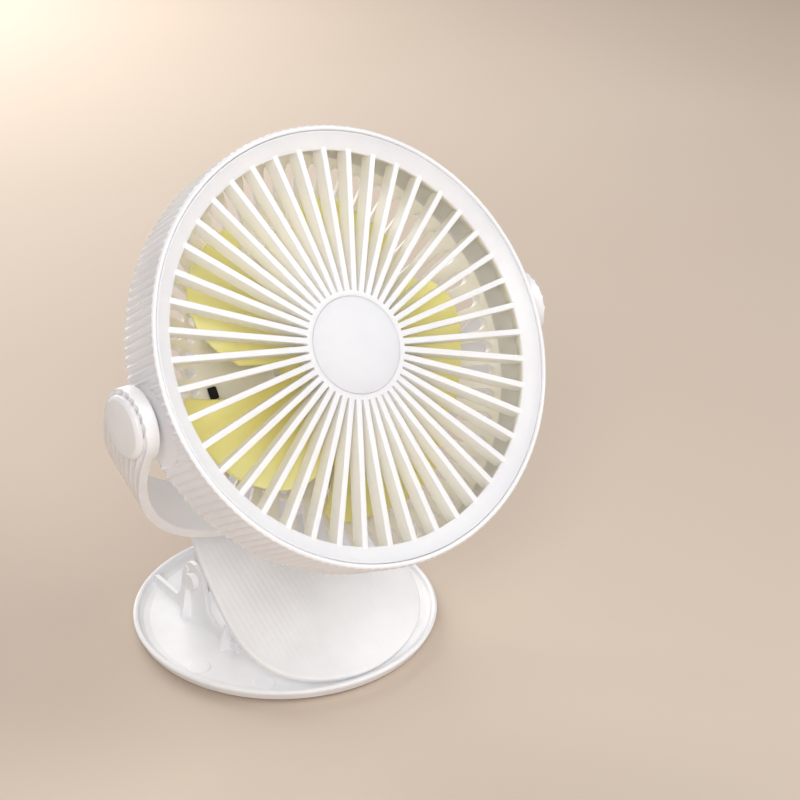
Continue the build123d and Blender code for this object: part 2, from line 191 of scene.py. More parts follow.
def lathe(name, prof, m, n=128):
    """A closed (r, z) outline turned about local Z."""
    verts, rows = [], []
    for r, z in prof:
        if r < 1e-6:
            verts.append((0, 0, z))
            rows.append([len(verts) - 1] * n)
        else:
            base = len(verts)
            verts += [(r * math.cos(2 * PI * k / n), r * math.sin(2 * PI * k / n), z) for k in range(n)]
            rows.append([base + k for k in range(n)])
    faces = []
    for i in range(len(prof)):
        a, b = rows[i], rows[(i + 1) % len(prof)]
        for k in range(n):
            q = [a[k], a[(k + 1) % n], b[(k + 1) % n], b[k]]
            f = []
            for j in q:
                if j not in f:
                    f.append(j)
            if len(f) >= 3:
                faces.append(f)
    return make(name, verts, faces, m)


def slab(name, outline, z0, z1, m, round_=0.0, seg=2):
    """A flat outline in local X, Y carried from z0 to z1, its edges rounded."""
    n = len(outline)
    v = [(x, y, z0) for x, y in outline] + [(x, y, z1) for x, y in outline]
    f = [list(range(n))[::-1], [n + i for i in range(n)]]
    f += [[i, (i + 1) % n, n + (i + 1) % n, n + i] for i in range(n)]
    o = make(name, v, f, m)
    if round_ > 0:
        soften(o, round_, seg, 50)
    return o


def grid(rows, close_u=False, close_v=False, base=0):
    """Quads over a rows by columns table of vertex numbers."""
    nu, nv = len(rows), len(rows[0])
    out = []
    for i in range(nu if close_u else nu - 1):
        for j in range(nv if close_v else nv - 1):
            a, b = rows[i], rows[(i + 1) % nu]
            q = []
            for k in (a[j], a[(j + 1) % nv], b[(j + 1) % nv], b[j]):
                if k not in q:
                    q.append(k)
            if len(q) >= 3:
                out.append(q)
    return out


def smoothstep(a, b, x):
    u = np.clip((np.asarray(x, float) - a) / (b - a), 0, 1)
    return u * u * (3 - 2 * u)


# ---------------------------------------------------------------------------
# Materials
# ---------------------------------------------------------------------------
def lin(c):
    """sRGB 0-255 to linear."""
    out = []
    for x in c:
        x = x / 255.0
        out.append(x / 12.92 if x <= 0.04045 else ((x + 0.055) / 1.055) ** 2.4)
    return (*out, 1.0)


def new_material(name):
    mt = bpy.data.materials.new(name)
    mt.use_nodes = True
    nt = mt.node_tree
    nt.nodes.clear()
    out = nt.nodes.new("ShaderNodeOutputMaterial")
    bsdf = nt.nodes.new("ShaderNodeBsdfPrincipled")
    nt.links.new(bsdf.outputs[0], out.inputs[0])
    tc = nt.nodes.new("ShaderNodeTexCoord")
    return mt, nt, bsdf, tc


def noise_node(nt, tc, scale, detail=3.0, rough=0.55):
    n = nt.nodes.new("ShaderNodeTexNoise")
    n.inputs["Scale"].default_value = scale
    n.inputs["Detail"].default_value = detail
    n.inputs["Roughness"].default_value = rough
    nt.links.new(tc.outputs["Object"], n.inputs["Vector"])
    return n


def ramp_node(nt, src, stops):
    r = nt.nodes.new("ShaderNodeValToRGB")
    el = r.color_ramp.elements
    el[0].position, el[0].color = stops[0]
    el[1].position, el[1].color = stops[-1]
    for p, c in stops[1:-1]:
        e = el.new(p)
        e.color = c
    nt.links.new(src, r.inputs[0])
    return r


def range_node(nt, src, a, b, lo_=0.3, hi_=0.7):
    n = nt.nodes.new("ShaderNodeMapRange")
    n.inputs[1].default_value, n.inputs[2].default_value = lo_, hi_
    n.inputs[3].default_value, n.inputs[4].default_value = a, b
    nt.links.new(src, n.inputs[0])
    return n


def moulded(name, dark, light, rough=(0.32, 0.42), patch=60.0, grain=2600.0, bump=0.04, specular=0.5, coat=0.0, inside=None, metallic=0.0, depth=None):
    """Moulded plastic or metal: slow colour change, uneven gloss and a fine surface grain.
    inside: (dark, light, mask) gives a second, warmer colour where the mask says so: painted warm bounce light on the
    inner surfaces."""
    mt, nt, bsdf, tc = new_material(name)
    big = noise_node(nt, tc, patch, 3.0)
    col = ramp_node(nt, big.outputs["Fac"], [(0.3, lin(dark)), (0.7, lin(light))])
    colour = col.outputs[0]
    if inside is not None:
        d2, l2, mask = inside
        col2 = ramp_node(nt, big.outputs["Fac"], [(0.3, lin(d2)), (0.7, lin(l2))])
        mix = nt.nodes.new("ShaderNodeMix")
        mix.data_type = "RGBA"
        nt.links.new(mask(nt, tc), mix.inputs["Factor"])
        nt.links.new(colour, mix.inputs["A"])
        nt.links.new(col2.outputs[0], mix.inputs["B"])
        colour = mix.outputs["Result"]
    nt.links.new(colour, bsdf.inputs["Base Color"])
    mid = noise_node(nt, tc, patch * 5.0, 4.0, 0.6)
    nt.links.new(range_node(nt, mid.outputs["Fac"], rough[0], rough[1]).outputs[0], bsdf.inputs["Roughness"])
    fine = noise_node(nt, tc, grain, 2.0, 0.5)
    bp = nt.nodes.new("ShaderNodeBump")
    bp.inputs["Strength"].default_value = bump
    bp.inputs["Distance"].default_value = 0.0004
    nt.links.new(fine.outputs["Fac"], bp.inputs["Height"])
    nt.links.new(bp.outputs[0], bsdf.inputs["Normal"])
    bsdf.inputs["Specular IOR Level"].default_value = specular
    bsdf.inputs["Metallic"].default_value = metallic
    if depth:
        bsdf.inputs["Subsurface Weight"].default_value = depth[0]
        bsdf.inputs["Subsurface Radius"].default_value = depth[1]
        bsdf.inputs["Subsurface Scale"].default_value = depth[2]
    if coat:
        bsdf.inputs["Coat Weight"].default_value = coat
        bsdf.inputs["Coat Roughness"].default_value = 0.12
    return mt


def head_depth(nt, tc):
    """Distance out of the face plane, in millimetres."""
    dot = nt.nodes.new("ShaderNodeVectorMath")
    dot.operation = "DOT_PRODUCT"
    nt.links.new(tc.outputs["Object"], dot.inputs[0])
    n = HEAD[:, 2]
    dot.inputs[1].default_value = tuple(n * 1000.0)
    sub = nt.nodes.new("ShaderNodeMath")
    sub.operation = "SUBTRACT"
    nt.links.new(dot.outputs["Value"], sub.inputs[0])
    sub.inputs[1].default_value = float(n @ HEAD[:, 3])
    return sub.outputs[0]


def painted_bounce_depth_mask(a, b):
    """1 deeper than b, 0 above a; places the painted warm bounce light."""
    def build(nt, tc):
        m = range_node(nt, head_depth(nt, tc), 0.0, 1.0, a, b)
        return m.outputs[0]
    return build


def painted_bounce_facing_mask(a, b):
    """1 on faces that look towards the front: where the inside of the bowl gets its painted warm bounce light."""
    def build(nt, tc):
        geo = nt.nodes.new("ShaderNodeNewGeometry")
        dot = nt.nodes.new("ShaderNodeVectorMath")
        dot.operation = "DOT_PRODUCT"
        nt.links.new(geo.outputs["Normal"], dot.inputs[0])
        dot.inputs[1].default_value = tuple(HEAD[:, 2])
        return range_node(nt, dot.outputs["Value"], 0.0, 1.0, a, b).outputs[0]
    return build


WHITE = moulded("white_gloss", (236, 236, 239), (244, 244, 247), (0.30, 0.40), 45.0, 2600.0, 0.03, 0.5)
# the guard's second colour is painted warm bounce light on the bars' sides and the inner wall deeper than the face
# plane
GUARD = moulded("white_guard", (240, 240, 244), (247, 247, 250), (0.34, 0.44), 45.0, 2600.0, 0.03, 0.45,
                inside=((248, 244, 234), (252, 249, 241), painted_bounce_depth_mask(-0.5, -1.6)), depth=(0.6, (1.0, 0.95, 0.84), 0.005))
SATIN = moulded("white_satin", (234, 234, 236), (243, 243, 245), (0.42, 0.55), 50.0, 3200.0, 0.06, 0.45)
# the shell's second colour is painted warm bounce light on its faces turned towards the front, the inside of the bowl
SHELL = moulded("white_shell", (232, 231, 230), (241, 240, 239), (0.40, 0.52), 50.0, 3000.0, 0.05, 0.45,
                inside=((250, 244, 230), (254, 249, 238), painted_bounce_facing_mask(0.12, 0.3)), depth=(0.55, (1.0, 0.97, 0.9), 0.006))
YELLOW = moulded("yellow_plastic", (255, 240, 152), (255, 247, 176), (0.30, 0.42), 40.0, 2400.0, 0.03, 0.5, depth=(0.5, (1.0, 0.92, 0.5), 0.004))
STEEL = moulded("steel", (150, 151, 155), (190, 191, 195), (0.24, 0.38), 220.0, 5200.0, 0.08, 0.5, metallic=1.0)
COPPER = moulded("copper", (150, 84, 52), (196, 118, 76), (0.3, 0.45), 300.0, 3600.0, 0.25, 0.5, metallic=1.0)
BRONZE = moulded("bronze", (140, 108, 66), (176, 140, 92), (0.35, 0.5), 300.0, 4200.0, 0.15, 0.5, metallic=1.0)
BOARD = moulded("board_green", (22, 74, 46), (40, 102, 62), (0.35, 0.5), 260.0, 2200.0, 0.12, 0.5)
CELL = moulded("cell_wrap", (44, 82, 140), (60, 104, 168), (0.28, 0.4), 120.0, 1800.0, 0.06, 0.5)
BLACKP = moulded("black_plastic", (14, 14, 16), (26, 26, 29), (0.38, 0.52), 160.0, 2800.0, 0.12, 0.4)
RUBBER = moulded("black_rubber", (12, 13, 14), (24, 25, 26), (0.6, 0.78), 180.0, 3400.0, 0.25, 0.3)
GREY = moulded("grey_rubber", (150, 150, 150), (172, 172, 172), (0.62, 0.78), 120.0, 3000.0, 0.25, 0.3)


def clear_plastic():
    mt, nt, bsdf, tc = new_material("clear")
    n = noise_node(nt, tc, 400.0)
    col = ramp_node(nt, n.outputs["Fac"], [(0.3, lin((226, 232, 236))), (0.7, lin((244, 248, 250)))])
    nt.links.new(col.outputs[0], bsdf.inputs["Base Color"])
    nt.links.new(range_node(nt, n.outputs["Fac"], 0.12, 0.22).outputs[0], bsdf.inputs["Roughness"])
    bsdf.inputs["Transmission Weight"].default_value = 0.75
    bsdf.inputs["IOR"].default_value = 1.49
    return mt


CLEAR = clear_plastic()


def coat(o, mt):
    o.data.materials.clear()
    o.data.materials.append(mt)
    return o


def finish(o, body, replaced, mt, angle=32.0, weighted=True):
    coat(o, mt)
    smooth(o, angle)
    if weighted:
        w = o.modifiers.new("normals", "WEIGHTED_NORMAL")
        w.keep_sharp = True
        w.weight = 60
    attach(o, body)
    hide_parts(*replaced)
    return o


# ---------------------------------------------------------------------------
# Front guard: dished ring, 44 deep bars, hub with its round cover
# ---------------------------------------------------------------------------
R_OPEN, R_RING = 66.7, 72.5
N_BAR = 44
ring_prof = rnd([(66.7, -0.45), (72.1, 2.72), (72.5, 2.45), (72.5, 0.4), (71.3, -0.4), (71.3, -9.0), (70.6, -9.0), (67.2, -2.4), (66.7, -1.6)],
                [0.3, 0.35, 0.22, 0.1, 0.1, 0.15, 0.2, 0.6, 0.3])
guard = lathe("front_grille", ring_prof, HEAD, 264)
hub = lathe("hub", rnd([(0, -2.8), (16.8, -2.8), (16.8, -6.6), (18.5, -6.6), (18.5, 0.04), (16.56, 0.04), (16.56, -0.95), (0, -0.95)],
                       [0, 0.6, 0.3, 0.3, 0.15, 0.16, 0.1, 0]), HEAD, 176)
bars = []
sec = rnd([(-0.88, -6.8), (0.88, -6.8), (1.03, 0.0), (-1.03, 0.0)], [0.45, 0.45, 0.24, 0.24], 3)
for k in range(N_BAR):
    mm = turn(HEAD, "z", 360.0 * k / N_BAR - 2.6)
    n = len(sec)
    v = [(r, y, z) for r in (17.3, 68.1) for y, z in sec]
    f = [list(range(n))[::-1], [n + i for i in range(n)]] + [[i, (i + 1) % n, n + (i + 1) % n, n + i] for i in range(n)]
    bars.append(make("bar", v, f, mm))
bars = joined("bars", bars)
combine(guard, bars)
combine(guard, hub)
finish(guard, "head", ["front_grille"], GUARD, 30)

cover = lathe("hub_cover", rnd([(0, -0.9), (16.5, -0.9), (16.5, 0.1), (11.0, 0.34), (5.0, 0.46), (0, 0.48)],
                               [0, 0.1, 0.2, 3.0, 3.0, 0], 5), HEAD, 176)
finish(cover, "head", ["hub_cover"], GUARD, 30)

# ---------------------------------------------------------------------------
# Ribbed rim: smooth lip in front, 150 hollow flutes along the axis, smooth pads and stubs at the pivots
# ---------------------------------------------------------------------------
N_RIB = 150
R_RIM, R_REAR, RIB_D = 74.8, 74.0, 1.4
flute = np.array([-0.955, -0.8, -0.53, -0.26, 0.0, 0.26, 0.53, 0.8, 0.955])     # places across one flute, ridge to ridge
PER = len(flute)
lip = rnd([(71.45, -3.0), (71.45, -0.75), (72.65, 0.05), (72.65, 2.6), (72.95, 3.05), (73.75, 3.15), (74.5, 2.4), (R_RIM, 1.0), (R_REAR, -20.5), (72.6, -20.5), (72.6, -4.0)],
          [0, 0, 0, 0.25, 0.3, 0.6, 0.9, 1.2, 0, 0, 0.4], 4)
prof = []
for i, (r, z) in enumerate(lip):
    prof.append((r, z))
    r2, z2 = lip[(i + 1) % len(lip)]
    gap_ = math.hypot(r2 - r, z2 - z)
    steps = int(gap_ / (0.85 if z2 < -0.5 else 0.32)) if (r > 72.97 and r2 > 72.97) else 0
    prof += [(r + (r2 - r) * k / (steps + 1), z + (z2 - z) * k / (steps + 1)) for k in range(1, steps + 1)]
na = N_RIB * PER
ang = (np.repeat(np.arange(N_RIB), PER) + np.tile(0.5 + flute / 2, N_RIB)) * 2 * PI / N_RIB
cutr = RIB_D * (1 - np.tile(flute, N_RIB) ** 2)
verts, rows = [], []
for r, z in prof:
    y = r * np.sin(ang)
    side = np.abs(np.cos(ang)) > 0.85
    d = np.hypot(y + 5.0, z + 14.0)
    pad = np.where(side, 1 - smoothstep(13.6, 14.6, d), 0.0)
    dep = (1.0 - 0.2 * min(1.0, max(0.0, (1.0 - z) / 21.5))) * float(smoothstep(2.8, 1.3, z)) if r > 72.97 else 0.0
    rr = r - dep * (cutr * (1 - pad) + RIB_D * pad)
    base = len(verts)
    verts += list(zip(rr * np.cos(ang), rr * np.sin(ang), np.full(na, z)))
    rows.append(list(range(base, base + na)))
rim = make("ribbed_rim", verts, grid(rows, True, True), HEAD)
for s in (-1, 1):
    mm = turn(turn(HEAD, "y", 90 * s, (0, PIV_U, PIV_W)), "z", 0)
    stub = lathe("stub", rnd([(0, 73.6), (6.2, 73.6), (6.2, 76.3), (5.0, 76.3), (5.0, 79.8), (0, 79.8)], [0, 0, 0.3, 0.1, 0.3, 0]), mm, 64)
    combine(rim, stub)
finish(rim, "head", ["ribbed_rim"], WHITE, 34)

# ---------------------------------------------------------------------------
# Rear shell: shallow dome, 48 tapered slots with round ends, a hoop across them, closed middle
# ---------------------------------------------------------------------------
N_SLOT = 48
inner_c = [(14.7, -33.4), (41.0, -33.0), (48.0, -31.8), (56.0, -29.4), (64.0, -25.8), (69.0, -22.4), (71.2, -20.2)]
outer_c = [(14.7, -35.5), (36.0, -35.5), (41.0, -35.2), (48.5, -34.1), (57.0, -31.7), (65.0, -28.3), (71.0, -24.6), (74.2, -22.2)]


def curve(points, r):
    """A smooth line through points, read at r."""
    x, y = np.array([p[0] for p in points]), np.array([p[1] for p in points])
    dx = np.diff(x)
    sl = np.diff(y) / dx
    mt_ = np.zeros(len(x))
    mt_[1:-1] = (sl[:-1] * dx[1:] + sl[1:] * dx[:-1]) / (dx[:-1] + dx[1:])
    mt_[0], mt_[-1] = sl[0], sl[-1]
    i = int(np.clip(np.searchsorted(x, r) - 1, 0, len(x) - 2))
    h = dx[i]
    u = (r - x[i]) / h
    return (2 * u**3 - 3 * u**2 + 1) * y[i] + (u**3 - 2 * u**2 + u) * h * mt_[i] + (-2 * u**3 + 3 * u**2) * y[i + 1] + (u**3 - u**2) * h * mt_[i + 1]


spans = [(43.45, 47.3, 1.35, 1.48), (48.9, 69.45, 1.55, 2.55)]     # slot from, to, half width there


def half_slot(r):
    for a, b, ha, hb in spans:
        if a < r < b:
            h = ha + (hb - ha) * (r - a) / (b - a)
            c0, c1 = a + ha, b - hb
            if a > 48.0:
                c0 = a + 0.5
                if r < c0:
                    return h * math.sqrt(max(0.0, 1 - ((c0 - r) / 0.5) ** 2))
            elif r < c0:
                return math.sqrt(max(0.0, ha * ha - (c0 - r) ** 2))
            if b < 48.0:
                c1 = b - 0.5
                if r > c1:
                    return h * math.sqrt(max(0.0, 1 - ((r - c1) / 0.5) ** 2))
            elif r > c1:
                return math.sqrt(max(0.0, hb * hb - (r - c1) ** 2))
            return h
    return 0.0


rr_ = [14.7, 18.0, 24.0, 30.0, 36.0, 41.0]
for a, b, ha, hb in spans:
    ea, eb = (ha, 0.5) if b < 48 else (0.5, hb)
    rr_ += [a + ea * (1 - math.cos(PI / 2 * k / 5)) for k in range(6)]
    rr_ += list(np.linspace(a + ea, b - eb, 3 if b < 48 else 12))[1:-1]
    rr_ += [b - eb * (1 - math.sin(PI / 2 * k / 5)) for k in range(6)]
rr_ += [70.2, 71.0]
rr_ = sorted(set(round(r, 4) for r in rr_))
# the outline as rows: inside from the middle outwards, the front edge, the outside back to the middle
prof_rows = [("in", r, curve(inner_c, r)) for r in rr_]
prof_rows += [("wall", 71.2, -19.6), ("wall", 71.2, -9.5), ("wall", 71.35, -9.3), ("wall", 72.3, -9.3), ("wall", 72.45, -9.5), ("wall", 72.45, -20.7),
              ("wall", 72.75, -20.72), ("wall", 72.85, -20.9), ("wall", 72.8, -21.7), ("wall", 72.5, -22.8), ("wall", 71.9, -23.75)]
prof_rows += [("out", r, curve(outer_c, r)) for r in reversed(rr_)]
MC = 3
verts, faces = [], []
index = {}


def put(key, p):
    if key not in index:
        index[key] = len(verts)
        verts.append(p)
    return index[key]


step = 2 * PI / N_SLOT
nrow = len(prof_rows)
table = []
for i, (kind, r, z) in enumerate(prof_rows):
    line = []
    h = half_slot(r) if kind != "wall" else 0.0
    for k in range(N_SLOT):
        a0 = k * step
        ac = a0 + step / 2
        half = step / 2 - math.asin(min(0.999, h / r)) if h > 0 else step / 2
        for side in (0, 1):
            for j in range(MC + 1):
                u = j / MC
                a = a0 + half * u if side == 0 else a0 + step - half * u
                if j == 0:
                    key = (i, (k + side) % N_SLOT, "b")
                elif j == MC and h <= 1e-6:
                    key = (i, k, "c")
                else:
                    key = (i, k, side, j)
                dz = 0.0
                if h > 1e-6 and j == MC:
                    dz = -0.18 if kind == "in" else 0.18
                line.append(put(key, (r * math.cos(a), r * math.sin(a), z + dz)))
    table.append(line)
W_ = 2 * (MC + 1)
for i in range(nrow):
    i2 = (i + 1) % nrow
    for k in range(N_SLOT):
        for side in (0, 1):
            for j in range(MC):
                c = k * W_ + side * (MC + 1) + j
                q = []
                for x in (table[i][c], table[i][c + 1], table[i2][c + 1], table[i2][c]):
                    if x not in q:
                        q.append(x)
                if len(q) >= 3:
                    faces.append(q)
nin = len(rr_)
for a in range(nin - 1):
    b = a + 1
    ao, bo = nrow - 1 - a, nrow - 1 - b
    if half_slot(rr_[a]) > 1e-6 or half_slot(rr_[b]) > 1e-6:
        for k in range(N_SLOT):
            for side in (0, 1):
                c = k * W_ + side * (MC + 1) + MC
                q = []
                for x in (table[a][c], table[b][c], table[bo][c], table[ao][c]):
                    if x not in q:
                        q.append(x)
                if len(q) >= 3:
                    faces.append(q)
shell = make("rear_shell", verts, faces, HEAD)
seat = lathe("seat", rnd([(12.85, -35.5), (16.0, -35.5), (16.0, -33.6), (14.6, -33.0), (14.6, -28.9), (12.85, -28.9)], [0, 0, 0.6, 0.5, 0.3, 0.3]), HEAD, 96)
combine(shell, seat)
win = slab("win", rnd([(-40.6, -1.8), (-37.2, -1.8), (-37.2, 2.6), (-40.6, 2.6)], 0.6), -38.0, -30.0, HEAD)
combine(shell, win, "DIFFERENCE")
finish(shell, "head", ["rear_shell"], SHELL, 30)

plug = slab("window_plug", rnd([(-40.5, -1.7), (-37.3, -1.7), (-37.3, 2.5), (-40.5, 2.5)], 0.6), -35.3, -32.5, HEAD, 0.25)
finish(plug, "head", ["window_plug"], RUBBER)

# ---------------------------------------------------------------------------
# Rear pod with its screws, button, light and charging inlet
# ---------------------------------------------------------------------------
POD = HEAD.copy()
POD[:, 3] = HEAD[:, 3] + 4.0 * HEAD[:, 2]
R_POD = 41.0
pod = lathe("rear_pod", rnd([(0, -54.0), (36.4, -54.0), (39.4, -53.0), (41.0, -50.0), (41.0, -42.4), (40.6, -42.2), (40.6, -41.5), (41.0, -41.3), (41.0, -39.55),
                             (39.1, -39.55), (39.1, -51.0), (37.4, -52.2), (0, -52.2)],
                            [0, 3.0, 2.6, 2.0, 0.2, 0.1, 0.1, 0.2, 0.2, 0.1, 1.0, 1.0, 0], 5), POD, 160)
BTN_Y, LED_Y = 22.0, 11.4
posts = []
SCREWS = [(35.2 * math.cos(math.radians(a)), 35.2 * math.sin(math.radians(a))) for a in (45, 135, 225, 315)]
for x, y in SCREWS:
    mm = POD.copy()
    mm[:, 3] = POD[:, 3] + x * POD[:, 0] + y * POD[:, 1]
    posts.append(lathe("post", [(0, -53.0), (2.6, -53.0), (2.6, -39.6), (0, -39.6)], mm, 40))
combine(pod, joined("posts", posts))
cuts = []
mm = POD.copy()
mm[:, 3] = POD[:, 3] + BTN_Y * POD[:, 1]
cuts.append(lathe("c", [(0, -56), (7.6, -56), (7.6, -53.7), (6.25, -53.2), (6.25, -50.5), (0, -50.5)], mm, 72))
mm = POD.copy()
mm[:, 3] = POD[:, 3] + LED_Y * POD[:, 1]
cuts.append(lathe("c", [(0, -56), (1.9, -56), (1.9, -53.9), (1.3, -53.4), (1.3, -50.5), (0, -50.5)], mm, 40))
for x, y in SCREWS:
    mm = POD.copy()
    mm[:, 3] = POD[:, 3] + x * POD[:, 0] + y * POD[:, 1]
    cuts.append(lathe("c", [(0, -57), (3.0, -57), (2.5, -53.0), (2.3, -51.2), (1.2, -51.2), (1.2, -38), (0, -38)], mm, 48))
combine(pod, joined("cuts", cuts), "DIFFERENCE")
INL = place(POD[:, 3], POD[:, 0], POD[:, 2], -POD[:, 1])
inl = slab("inl", rnd([(-4.6, -48.3), (4.6, -48.3), (4.6, -44.9), (-4.6, -44.9)], 1.5, 6), 37.0, 43.0, INL)
combine(pod, inl, "DIFFERENCE")
ringcut = lathe("g", rnd([(29.2, -54.5), (30.0, -54.5), (30.0, -53.72), (29.2, -53.72)], [0, 0, 0.2, 0.2]), POD, 160)
combine(pod, ringcut, "DIFFERENCE")
finish(pod, "head", ["rear_pod"], SATIN, 30)

mm = POD.copy()
mm[:, 3] = POD[:, 3] + BTN_Y * POD[:, 1]
button = lathe("speed_button", rnd([(0, -54.6), (2.6, -54.66), (4.4, -54.9), (5.2, -54.9), (6.1, -54.1), (6.1, -52.25), (7.2, -52.25), (7.2, -50.95), (1.6, -50.95), (1.6, -48.75), (0, -48.75)],
                                   [0, 1.5, 0.6, 0.6, 0.6, 0.1, 0.2, 0.2, 0.2, 0.2, 0], 4), mm, 80)
finish(button, "button", ["speed_button"], WHITE, 35)

screws = []
for x, y in SCREWS:
    mm = POD.copy()
    mm[:, 3] = POD[:, 3] + x * POD[:, 0] + y * POD[:, 1]
    sc = lathe("sc", rnd([(0, -53.2), (1.3, -53.1), (2.15, -52.4), (2.15, -51.25), (1.15, -51.25), (1.15, -40.2), (0, -40.2)], [0, 0.8, 0.3, 0.1, 0.1, 0.1, 0]), mm, 40)
    a = slab("x", [(-1.2, -0.26), (1.2, -0.26), (1.2, 0.26), (-1.2, 0.26)], -54.0, -52.45, mm)
    b = slab("x", [(-0.26, -1.2), (0.26, -1.2), (0.26, 1.2), (-0.26, 1.2)], -54.0, -52.45, mm)
    combine(sc, a, "DIFFERENCE")
    combine(sc, b, "DIFFERENCE")
    screws.append(sc)
screws = joined("pod_screws", screws)
finish(screws, "head", ["pod_screws"], STEEL, 35)

# ---------------------------------------------------------------------------
# Impeller: hub cup and five broad, twisted blades with round tips
# ---------------------------------------------------------------------------
N_BLADE, R_TIP, BLADE_W, PHASE = 5, 56.0, -20.3, 66.0
imp = lathe("impeller", rnd([(0, -10.2), (9.0, -10.25), (13.6, -10.7), (15.5, -12.6), (15.5, -28.0), (13.9, -28.0), (13.9, -12.5), (3.4, -12.5), (3.4, -20.8), (1.02, -20.8), (1.02, -11.6), (0, -11.6)],
                            [0, 3.0, 2.0, 1.8, 0.4, 0.3, 0.8, 0.5, 0.2, 0, 0, 0], 5), HEAD, 120)


def edges_at(r):
    """Trailing and leading edge of a blade, degrees from its middle, and its pitch."""
    x = [14.0, 20.0, 28.0, 38.0, 48.0, 58.0]
    a = np.interp(r, x, [-20.0, -21.3, -23.1, -25.3, -29.5, -34.0])
    b = np.interp(r, x, [33.0, 35.0, 35.6, 34.0, 23.0, 6.7])
    p = np.interp(r, x, [40.0, 36.0, 31.0, 27.0, 23.5, 20.5])
    return a, b, p


def blade(k):
    nr, nc = 30, 29
    verts, top, bot = [], [], []
    th = 0.8
    for i in range(nr):
        ti, bi = [], []
        for j in range(nc):
            v = -math.cos(PI * j / (nc - 1))
            rt = R_TIP - 4.2 * max(0.0, (abs(v) - 0.5) / 0.5) ** 2.6
            f = i / (nr - 1)
            f = 1 - (1 - f) ** 1.35
            r = 14.2 + (rt - 14.2) * f
            a, b, p = edges_at(r)
            mid, half = (a + b) / 2, (b - a) / 2
            ca = math.radians(mid + half * v)
            an = math.radians(PHASE + 72.0 * k) + ca
            tang = r * ca
            w = BLADE_W + math.tan(math.radians(p)) * tang
            w = -18.8 + 8.3 * math.tanh((w + 18.8) / 8.3)
            eu = (1 - abs(v)) * half * r * PI / 180
            er = (rt - r)
            e = min(eu, er)
            tt = th * math.sqrt(max(0.0, 1 - (1 - min(1.0, e / 0.8)) ** 2))
            x, y = r * math.cos(an), r * math.sin(an)
            edge = tt < 1e-4
            verts.append((x, y, w + tt))
            ti.append(len(verts) - 1)
            if edge:
                bi.append(len(verts) - 1)
            else:
                verts.append((x, y, w - tt))
                bi.append(len(verts) - 1)
        top.append(ti)
        bot.append(bi)
    fs = grid(top) + [q[::-1] for q in grid(bot)]
    for j in range(nc - 1):
        q = []
        for x in (top[0][j], top[0][j + 1], bot[0][j + 1], bot[0][j]):
            if x not in q:
                q.append(x)
        if len(q) >= 3:
            fs.append(q)
    return make("blade", verts, fs, HEAD)


for k in range(N_BLADE):
    combine(imp, blade(k))
finish(imp, "rotor", ["impeller"], YELLOW, 40)

# ---------------------------------------------------------------------------
# Yoke: U band with round ends, its outside ribbed along its length
# ---------------------------------------------------------------------------
YX, YS, YT, WE, WB, R_END = 81.5, 82.2, 3.6, 24.8, 22.3, 12.4
N_FL, FL_D = 8, 0.5                                  # flutes across the band and their depth
one = [-1.0, -0.95, -0.8, -0.6, -0.4, -0.2, 0.0, 0.2, 0.4, 0.6, 0.8, 0.95]
us = [-1.0 + (k + (x + 1) / 2) * 2.0 / N_FL for k in range(N_FL) for x in one] + [1.0]
us = sorted(set([round(x, 6) for x in us] + [s * x for s in (-1, 1) for x in (0.985, 0.994)]))
runs = [1.0, 0.997, 0.99, 0.98, 0.965, 0.945, 0.92, 0.88, 0.82, 0.74, 0.64, 0.52, 0.4, 0.28, 0.14, 0.0]
path = [("line", f) for f in runs]                    # round end, drawn out along the band
for f in np.linspace(0, 180, 121)[1:-1]:
    path.append(("arc", f))
path += [("line2", f) for f in reversed(runs)]
top, bot, verts = [], [], []
for kind, q in path:
    ti, bi = [], []
    hw = R_END
    if kind == "arc":
        drop = smoothstep(0.0, 1.0, 1 - abs(q - 90.0) / 90.0)
        hw = (WE + (WB - WE) * float(drop)) / 2
    for u in us:
        v = u * hw
        if kind == "arc":
            e = hw - abs(v)
        else:
            yq = q * math.sqrt(max(0.0, R_END**2 - v**2))
            e = R_END - math.hypot(v, yq)
        e = max(0.0, e)
        rd = 0.3
        drop_o = rd - math.sqrt(max(0.0, rd**2 - max(0.0, rd - e) ** 2))
        ri = 0.6
        drop_i = ri - math.sqrt(max(0.0, ri**2 - max(0.0, ri - e) ** 2))
        x = ((u + 1) / 2 * N_FL) % 1.0 * 2 - 1
        groove = max(0.06, FL_D * (1 - x * x))
        for inside, lst in ((False, ti), (True, bi)):
            h = YT - drop_o - groove if not inside else drop_i
            if kind == "arc":
                a = PI + math.radians(q)
                p = ((YX - YT + h) * math.cos(a), (YS - YT + h) * math.sin(a), v)
            else:
                s = -1 if kind == "line" else 1
                p = (s * (YX - YT + h), yq, v)
            verts.append(p)
            lst.append(len(verts) - 1)
    top.append(ti)
    bot.append(bi)
fs = grid(top) + [q[::-1] for q in grid(bot)]
n = len(us)
for i in range(len(path) - 1):
    for j in (0, n - 1):
        fs.append([top[i][j], top[i + 1][j], bot[i + 1][j], bot[i][j]])
for i in (0, len(path) - 1):
    for j in range(n - 1):
        fs.append([top[i][j], top[i][j + 1], bot[i][j + 1], bot[i][j]])
yoke = make("yoke", verts, fs, YOKE)
foot = lathe("foot", rnd([(0, 79.2), (11.0, 79.2), (11.0, 82.3), (10.6, 82.6), (0, 82.6)], [0, 0, 0.2, 0.2, 0]), turn(YOKE, "x", 90), 96)
combine(yoke, foot)
for s in (-1, 1):
    boss = lathe("boss", rnd([(7.0, 76.45), (R_END - 0.02, 76.45), (R_END - 0.02, 78.6), (7.0, 78.6)], [0.3, 0.45, 0, 0]), turn(YOKE, "y", 90 * s), 128)
    combine(yoke, boss)
    bore = lathe("bore", [(0, 70), (5.05, 70), (5.05, 79.95), (7.6, 79.95), (7.6, 90), (0, 90)], turn(YOKE, "y", 90 * s), 64)
    combine(yoke, bore, "DIFFERENCE")
finish(yoke, "yoke", ["yoke"], WHITE, 34)

